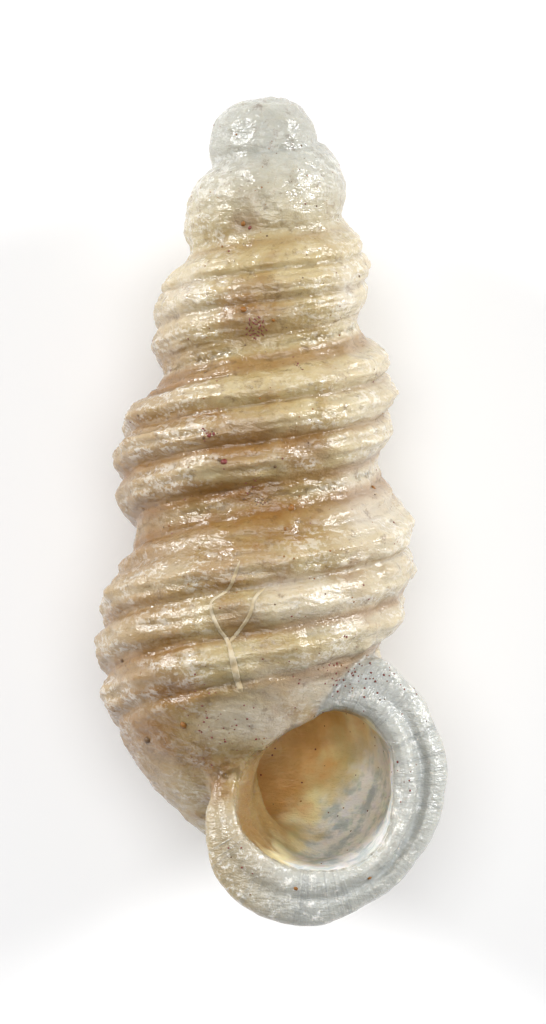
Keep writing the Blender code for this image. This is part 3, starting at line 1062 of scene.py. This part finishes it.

# %% [markdown]
# The lip is clear grey crystal with white flecks, warmer on the axis side, and its streaks run out from
# the mouth. Inside the mouth the tube is ochre on the axis side, cream in the middle, and blue-grey with
# white spots where the outer wall is thin. These inside colours are painted lighter than the tube's own,
# as painted light reaching into the mouth, and the blue-grey and white are painted light coming through
# the thin outer wall.

# %% Lip and mouth colour
LIP_GREY = shade(176, 177, 171)
LIP_WARM = shade(168, 153, 122)
LIP_SHADOW = shade(138, 141, 138)
# The inside colours are painted lighter than the tube's own: painted light reaching into the mouth.
INSIDE_BROWN = shade(122, 90, 46)
INSIDE_OCHRE = shade(238, 200, 132)
INSIDE_DARK = shade(214, 170, 102)
INSIDE_CREAM = shade(252, 238, 190)
INSIDE_OLIVE = shade(222, 208, 148)
INSIDE_THROUGH_LIGHT_WHITE = shade(250, 252, 250)
INSIDE_THROUGH_LIGHT_BLUE = shade(202, 214, 216)
FROM_MOUTH_IN_PLAN = (1.0, 0.0, 1.0)
RAY_COUNT = (9.0, 9.0, 9.0)
RAY_NOISE = (1.8, 4.0, 0.7)
WARM_SIDE = (0.02, -0.30)
LIP_SHADOWS = (0.50, 0.72, 0.0, 0.6)
CLOUDY_NOISE = (8.0, 3.0)
CLOUDY = (0.35, 0.62, 0.0, 0.8)
MILKY_NOISE = (48.0, 4.0, 0.7)
MILKY = (0.50, 0.70)
SWAY_NOISE = (9.0, 3.0, 0.6)
SWAY = 0.22
SLANT = (0.85, 0.0, -0.5)
OCHRE_NOISE = (7.0, 4.0, 0.6)
OCHRE_MOTTLE = (0.36, 0.66)
CREAM_NOISE = (8.0, 3.0, 0.5)
CREAM_MOTTLE = (0.38, 0.66)
SPOT_NOISE = (15.0, 3.0, 0.6)
SPOTS = (0.42, 0.66)
BROWN_WITHIN = (0.10, -0.15, 0.0, 0.85)
CREAM_FROM = (0.07, 0.16)
THROUGH_LIGHT_FROM = (0.14, 0.25)


def from_mouth(tree, place):
    """Place relative to the middle of the mouth."""
    return vector(tree, "SUBTRACT", place, (MOUTH_RADIUS, 0.0, -MOUTH_DEPTH))


def lip_colour_group():
    outputs = [("Color", "Color"), ("Streaks", "Float")]
    tree, given, result = new_group("lip colour", [("Place", "Vector")], outputs)
    place = given["Place"]
    offset = from_mouth(tree, place)
    flat = vector(tree, "MULTIPLY", offset, FROM_MOUTH_IN_PLAN)
    direction = put(tree, "VectorMath", {0: flat}, operation="NORMALIZE").outputs[0]
    rays = vector(tree, "ADD", vector(tree, "MULTIPLY", direction, RAY_COUNT), offset)
    streaks = noise_at(tree, rays, *RAY_NOISE)
    tree.links.new(streaks, result["Streaks"])
    colour = blend(tree, ramp(tree, coordinate(tree, offset, 0), *WARM_SIDE), LIP_GREY, LIP_WARM)
    colour = blend(tree, ramp(tree, streaks, *LIP_SHADOWS), colour, LIP_SHADOW)
    cloudy = ramp(tree, noise_at(tree, place, *CLOUDY_NOISE), *CLOUDY)
    milky = ramp(tree, noise_at(tree, place, *MILKY_NOISE), *MILKY)
    tree.links.new(blend(tree, product(tree, milky, cloudy), colour, WHITE), result["Color"])
    return tree


def mouth_colour_and_light_group():
    tree, given, result = new_group("mouth colour and painted light", [("Place", "Vector")], [("Color", "Color")])
    place = given["Place"]
    offset = from_mouth(tree, place)
    sway = product(tree, noise_at(tree, place, *SWAY_NOISE), SWAY)
    slant = put(tree, "VectorMath", {0: offset, 1: SLANT}, operation="DOT_PRODUCT").outputs["Value"]
    slant = maths(tree, "ADD", slant, sway)
    mottle = ramp(tree, noise_at(tree, place, *OCHRE_NOISE), *OCHRE_MOTTLE)
    ochre = blend(tree, mottle, INSIDE_DARK, INSIDE_OCHRE)
    mottle = ramp(tree, noise_at(tree, place, *CREAM_NOISE), *CREAM_MOTTLE)
    cream = blend(tree, mottle, INSIDE_CREAM, INSIDE_OLIVE)
    spots = ramp(tree, noise_at(tree, place, *SPOT_NOISE), *SPOTS)
    # painted light coming through the thin outer wall: white spots on blue-grey
    light_through_wall = blend(tree, spots, INSIDE_THROUGH_LIGHT_WHITE, INSIDE_THROUGH_LIGHT_BLUE)
    within = ramp(tree, coordinate(tree, offset, 1), *BROWN_WITHIN)
    ochre = blend(tree, within, ochre, INSIDE_BROWN)
    colour = blend(tree, ramp(tree, slant, *CREAM_FROM), ochre, cream)
    colour = blend(tree, ramp(tree, slant, *THROUGH_LIGHT_FROM), colour, light_through_wall)
    tree.links.new(colour, result["Color"])
    return tree


LIP_COLOUR = lip_colour_group()
MOUTH_COLOUR_AND_LIGHT = mouth_colour_and_light_group()
print("lip and mouth groups:", len(LIP_COLOUR.nodes), len(MOUTH_COLOUR_AND_LIGHT.nodes), "nodes")

# %% [markdown]
# The shell is one material, because it grew as one piece. The three colours are mixed by the masks on
# the mesh, light spreads a little inside the wall, and the gloss is uneven, so that highlights break
# up.

# %% Shell material
BUMP_DISTANCE = 0.0060
STREAK_HEIGHT = 0.8
SPREAD_MM = 0.05
SPREAD_WEIGHT = 0.7
SPREAD_BY_COLOUR = (1.0, 0.82, 0.6)
REFRACTION = 1.68
LIP_END_FADE = (0.13, 0.30, 0.13)
LIP_BACK_FADE = (-0.01, -0.13)
GLOSS_BY_FROST = (0.0, 1.0, 0.22, 0.13)
INSIDE_DULLNESS = 0.25
MASK_NAMES = ("crest", "lip", "inside", "across")


def new_material(name):
    """A material with its node tree and its Principled shader."""
    material = bpy.data.materials.new(name)
    material.use_nodes = True
    return material, material.node_tree, material.node_tree.nodes["Principled BSDF"]


def on_lip_mask(tree, place, on_lip):
    """The lip's mask, faded out at the end that sinks into the callus and towards the back."""
    ellipse = {"Middle": LIP_END, "Size": LIP_END_FADE}
    end = put(tree, "Group", {"Place": place, **ellipse}, node_tree=PATCH).outputs[0]
    forward = ramp(tree, coordinate(tree, place, 1), *LIP_BACK_FADE)
    return product(tree, on_lip, maths(tree, "SUBTRACT", 1.0, end), forward)


def shell_material():
    material, tree, shader = new_material("shell wall")
    place = put(tree, "Group", node_tree=PLACE).outputs[0]
    masks = [put(tree, "Attribute", attribute_name=name).outputs["Fac"] for name in MASK_NAMES]
    crest, on_lip, inside, across = masks
    grain = put(tree, "Group", {"Place": place, "Across": across}, node_tree=GRAIN).outputs
    given = {"Place": place, "Crest": crest, "Frost_and_glint": grain["Frost_and_glint"]}
    colour = put(tree, "Group", given, node_tree=WALL_COLOUR).outputs[0]
    on_lip = on_lip_mask(tree, place, on_lip)
    lip_look = put(tree, "Group", {"Place": place}, node_tree=LIP_COLOUR).outputs
    mouth = put(tree, "Group", {"Place": place}, node_tree=MOUTH_COLOUR_AND_LIGHT).outputs[0]
    colour = blend(tree, on_lip, colour, lip_look["Color"])
    # the mouth's colours carry painted light
    tree.links.new(blend(tree, inside, colour, mouth), shader.inputs["Base Color"])
    streaks = product(tree, lip_look["Streaks"], on_lip, STREAK_HEIGHT)
    height = maths(tree, "ADD", grain["Height"], streaks)
    bumps = {"Height": height, "Strength": 1.0, "Distance": BUMP_DISTANCE * MM}
    tree.links.new(put(tree, "Bump", bumps).outputs[0], shader.inputs["Normal"])
    rough = ramp(tree, grain["Frost_and_glint"], *GLOSS_BY_FROST)
    rough = maths(tree, "ADD", rough, product(tree, inside, INSIDE_DULLNESS))
    tree.links.new(rough, shader.inputs["Roughness"])
    shader.subsurface_method = "RANDOM_WALK"
    shader.inputs["Subsurface Weight"].default_value = SPREAD_WEIGHT
    shader.inputs["Subsurface Radius"].default_value = SPREAD_BY_COLOUR
    shader.inputs["Subsurface Scale"].default_value = SPREAD_MM * MM
    shader.inputs["IOR"].default_value = REFRACTION
    return material


shell.data.materials.append(shell_material())
print("material nodes:", len(shell.data.materials[0].node_tree.nodes))

# %% [markdown]
# A dirt grain carries its own colour on its points, a little uneven, and is dull with a dry gloss. The
# pale thread is cream and waxy, mottled along its way.

# %% Dirt and thread materials
THREAD_CREAM = shade(194, 181, 154)
THREAD_TAN = shade(176, 157, 122)
DIRT_NOISE = (120.0, 2.0, 0.6)
DIRT_DARKER = (0.40, 0.70, 0.0, 0.5)
DIRT_GLOSS = (0.3, 0.7, 0.35, 0.65)
MOTTLE_NOISE = (24.0, 3.0, 0.6)
THREAD_MOTTLE = (0.42, 0.62)
THREAD_GLOSS = (0.3, 0.7, 0.35, 0.55)


def dirt_material():
    material, tree, shader = new_material("dirt")
    place = put(tree, "Group", node_tree=PLACE).outputs[0]
    tint = put(tree, "Attribute", attribute_name="tint").outputs["Color"]
    uneven = noise_at(tree, place, *DIRT_NOISE)
    darker = blend(tree, ramp(tree, uneven, *DIRT_DARKER), tint, DARK)
    tree.links.new(darker, shader.inputs["Base Color"])
    tree.links.new(ramp(tree, uneven, *DIRT_GLOSS), shader.inputs["Roughness"])
    return material


def thread_material():
    material, tree, shader = new_material("pale thread")
    place = put(tree, "Group", node_tree=PLACE).outputs[0]
    mottle = noise_at(tree, place, *MOTTLE_NOISE)
    colour = blend(tree, ramp(tree, mottle, *THREAD_MOTTLE), THREAD_CREAM, THREAD_TAN)
    tree.links.new(colour, shader.inputs["Base Color"])
    tree.links.new(ramp(tree, mottle, *THREAD_GLOSS), shader.inputs["Roughness"])
    return material


dirt_piece.data.materials.append(dirt_material())
thread_piece.data.materials.append(thread_material())
print("materials:", [m.name for m in bpy.data.materials])

# %% [markdown]
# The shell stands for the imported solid. The dirt and the thread ride on the same body, because they are
# stuck to it.

# %% Where it rides
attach(shell, "root")
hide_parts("shell")
for piece in (dirt_piece, thread_piece):
    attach(piece, "root")
print("pieces:", [piece.name for piece in (shell, dirt_piece, thread_piece)])

# %% [markdown]
# The floor is a plain, nearly white sheet, wide enough for every view.

# %% Floor
FLOOR_HALF_WIDTH = 0.25
FLOOR_WHITE = shade(243, 243, 243)
FLOOR_GREY = shade(238, 238, 239)
FLOOR_CELLS = 8
PAPER_NOISE = (300.0, 3.0, 0.5)
PAPER_ROUGHNESS = 0.9


def floor_sheet():
    bm = bmesh.new()
    bmesh.ops.create_grid(bm, x_segments=FLOOR_CELLS, y_segments=FLOOR_CELLS, size=FLOOR_HALF_WIDTH)
    obj = new_piece("floor", bm)
    material, tree, shader = new_material("floor")
    paper = noise_at(tree, put(tree, "TexCoord").outputs["Object"], *PAPER_NOISE)
    tree.links.new(blend(tree, paper, FLOOR_WHITE, FLOOR_GREY), shader.inputs["Base Color"])
    shader.inputs["Roughness"].default_value = PAPER_ROUGHNESS
    obj.data.materials.append(material)
    return obj


floor_sheet()

# %% [markdown]
# Light is a plain studio: a broad soft lamp overhead that reaches into the mouth, and two smaller ones
# low at the upper left and upper right, whose highlights run along the flanks of the cords.

# %% Light
LAMP_DISTANCE = 0.1
LAMPS = (
    ("top lamp", (0.0, 0.12, 1.0), 0.080, 0.056),
    ("left lamp", (-1.0, 0.52, 0.46), 0.032, 0.090),
    ("right lamp", (1.0, 0.46, 0.44), 0.032, 0.094),
)
WORLD_STRENGTH = 0.22


def softbox(name, direction, size, power):
    data = bpy.data.lights.new(name, "AREA")
    data.shape = "DISK"
    data.size = size
    data.energy = power
    obj = bpy.data.objects.new(name, data)
    bpy.context.scene.collection.objects.link(obj)
    aim = Vector(direction).normalized()
    obj.location = aim * LAMP_DISTANCE
    obj.rotation_mode = "QUATERNION"
    obj.rotation_quaternion = aim.to_track_quat("Z", "Y")


def studio():
    for lamp in LAMPS:
        softbox(*lamp)
    world = bpy.data.worlds.new("studio")
    world.use_nodes = True
    background = world.node_tree.nodes["Background"]
    background.inputs["Color"].default_value = (1, 1, 1, 1)
    background.inputs["Strength"].default_value = WORLD_STRENGTH
    bpy.context.scene.world = world
    bpy.context.scene.view_settings.view_transform = "Standard"


studio()
print("lamps:", len(LAMPS))
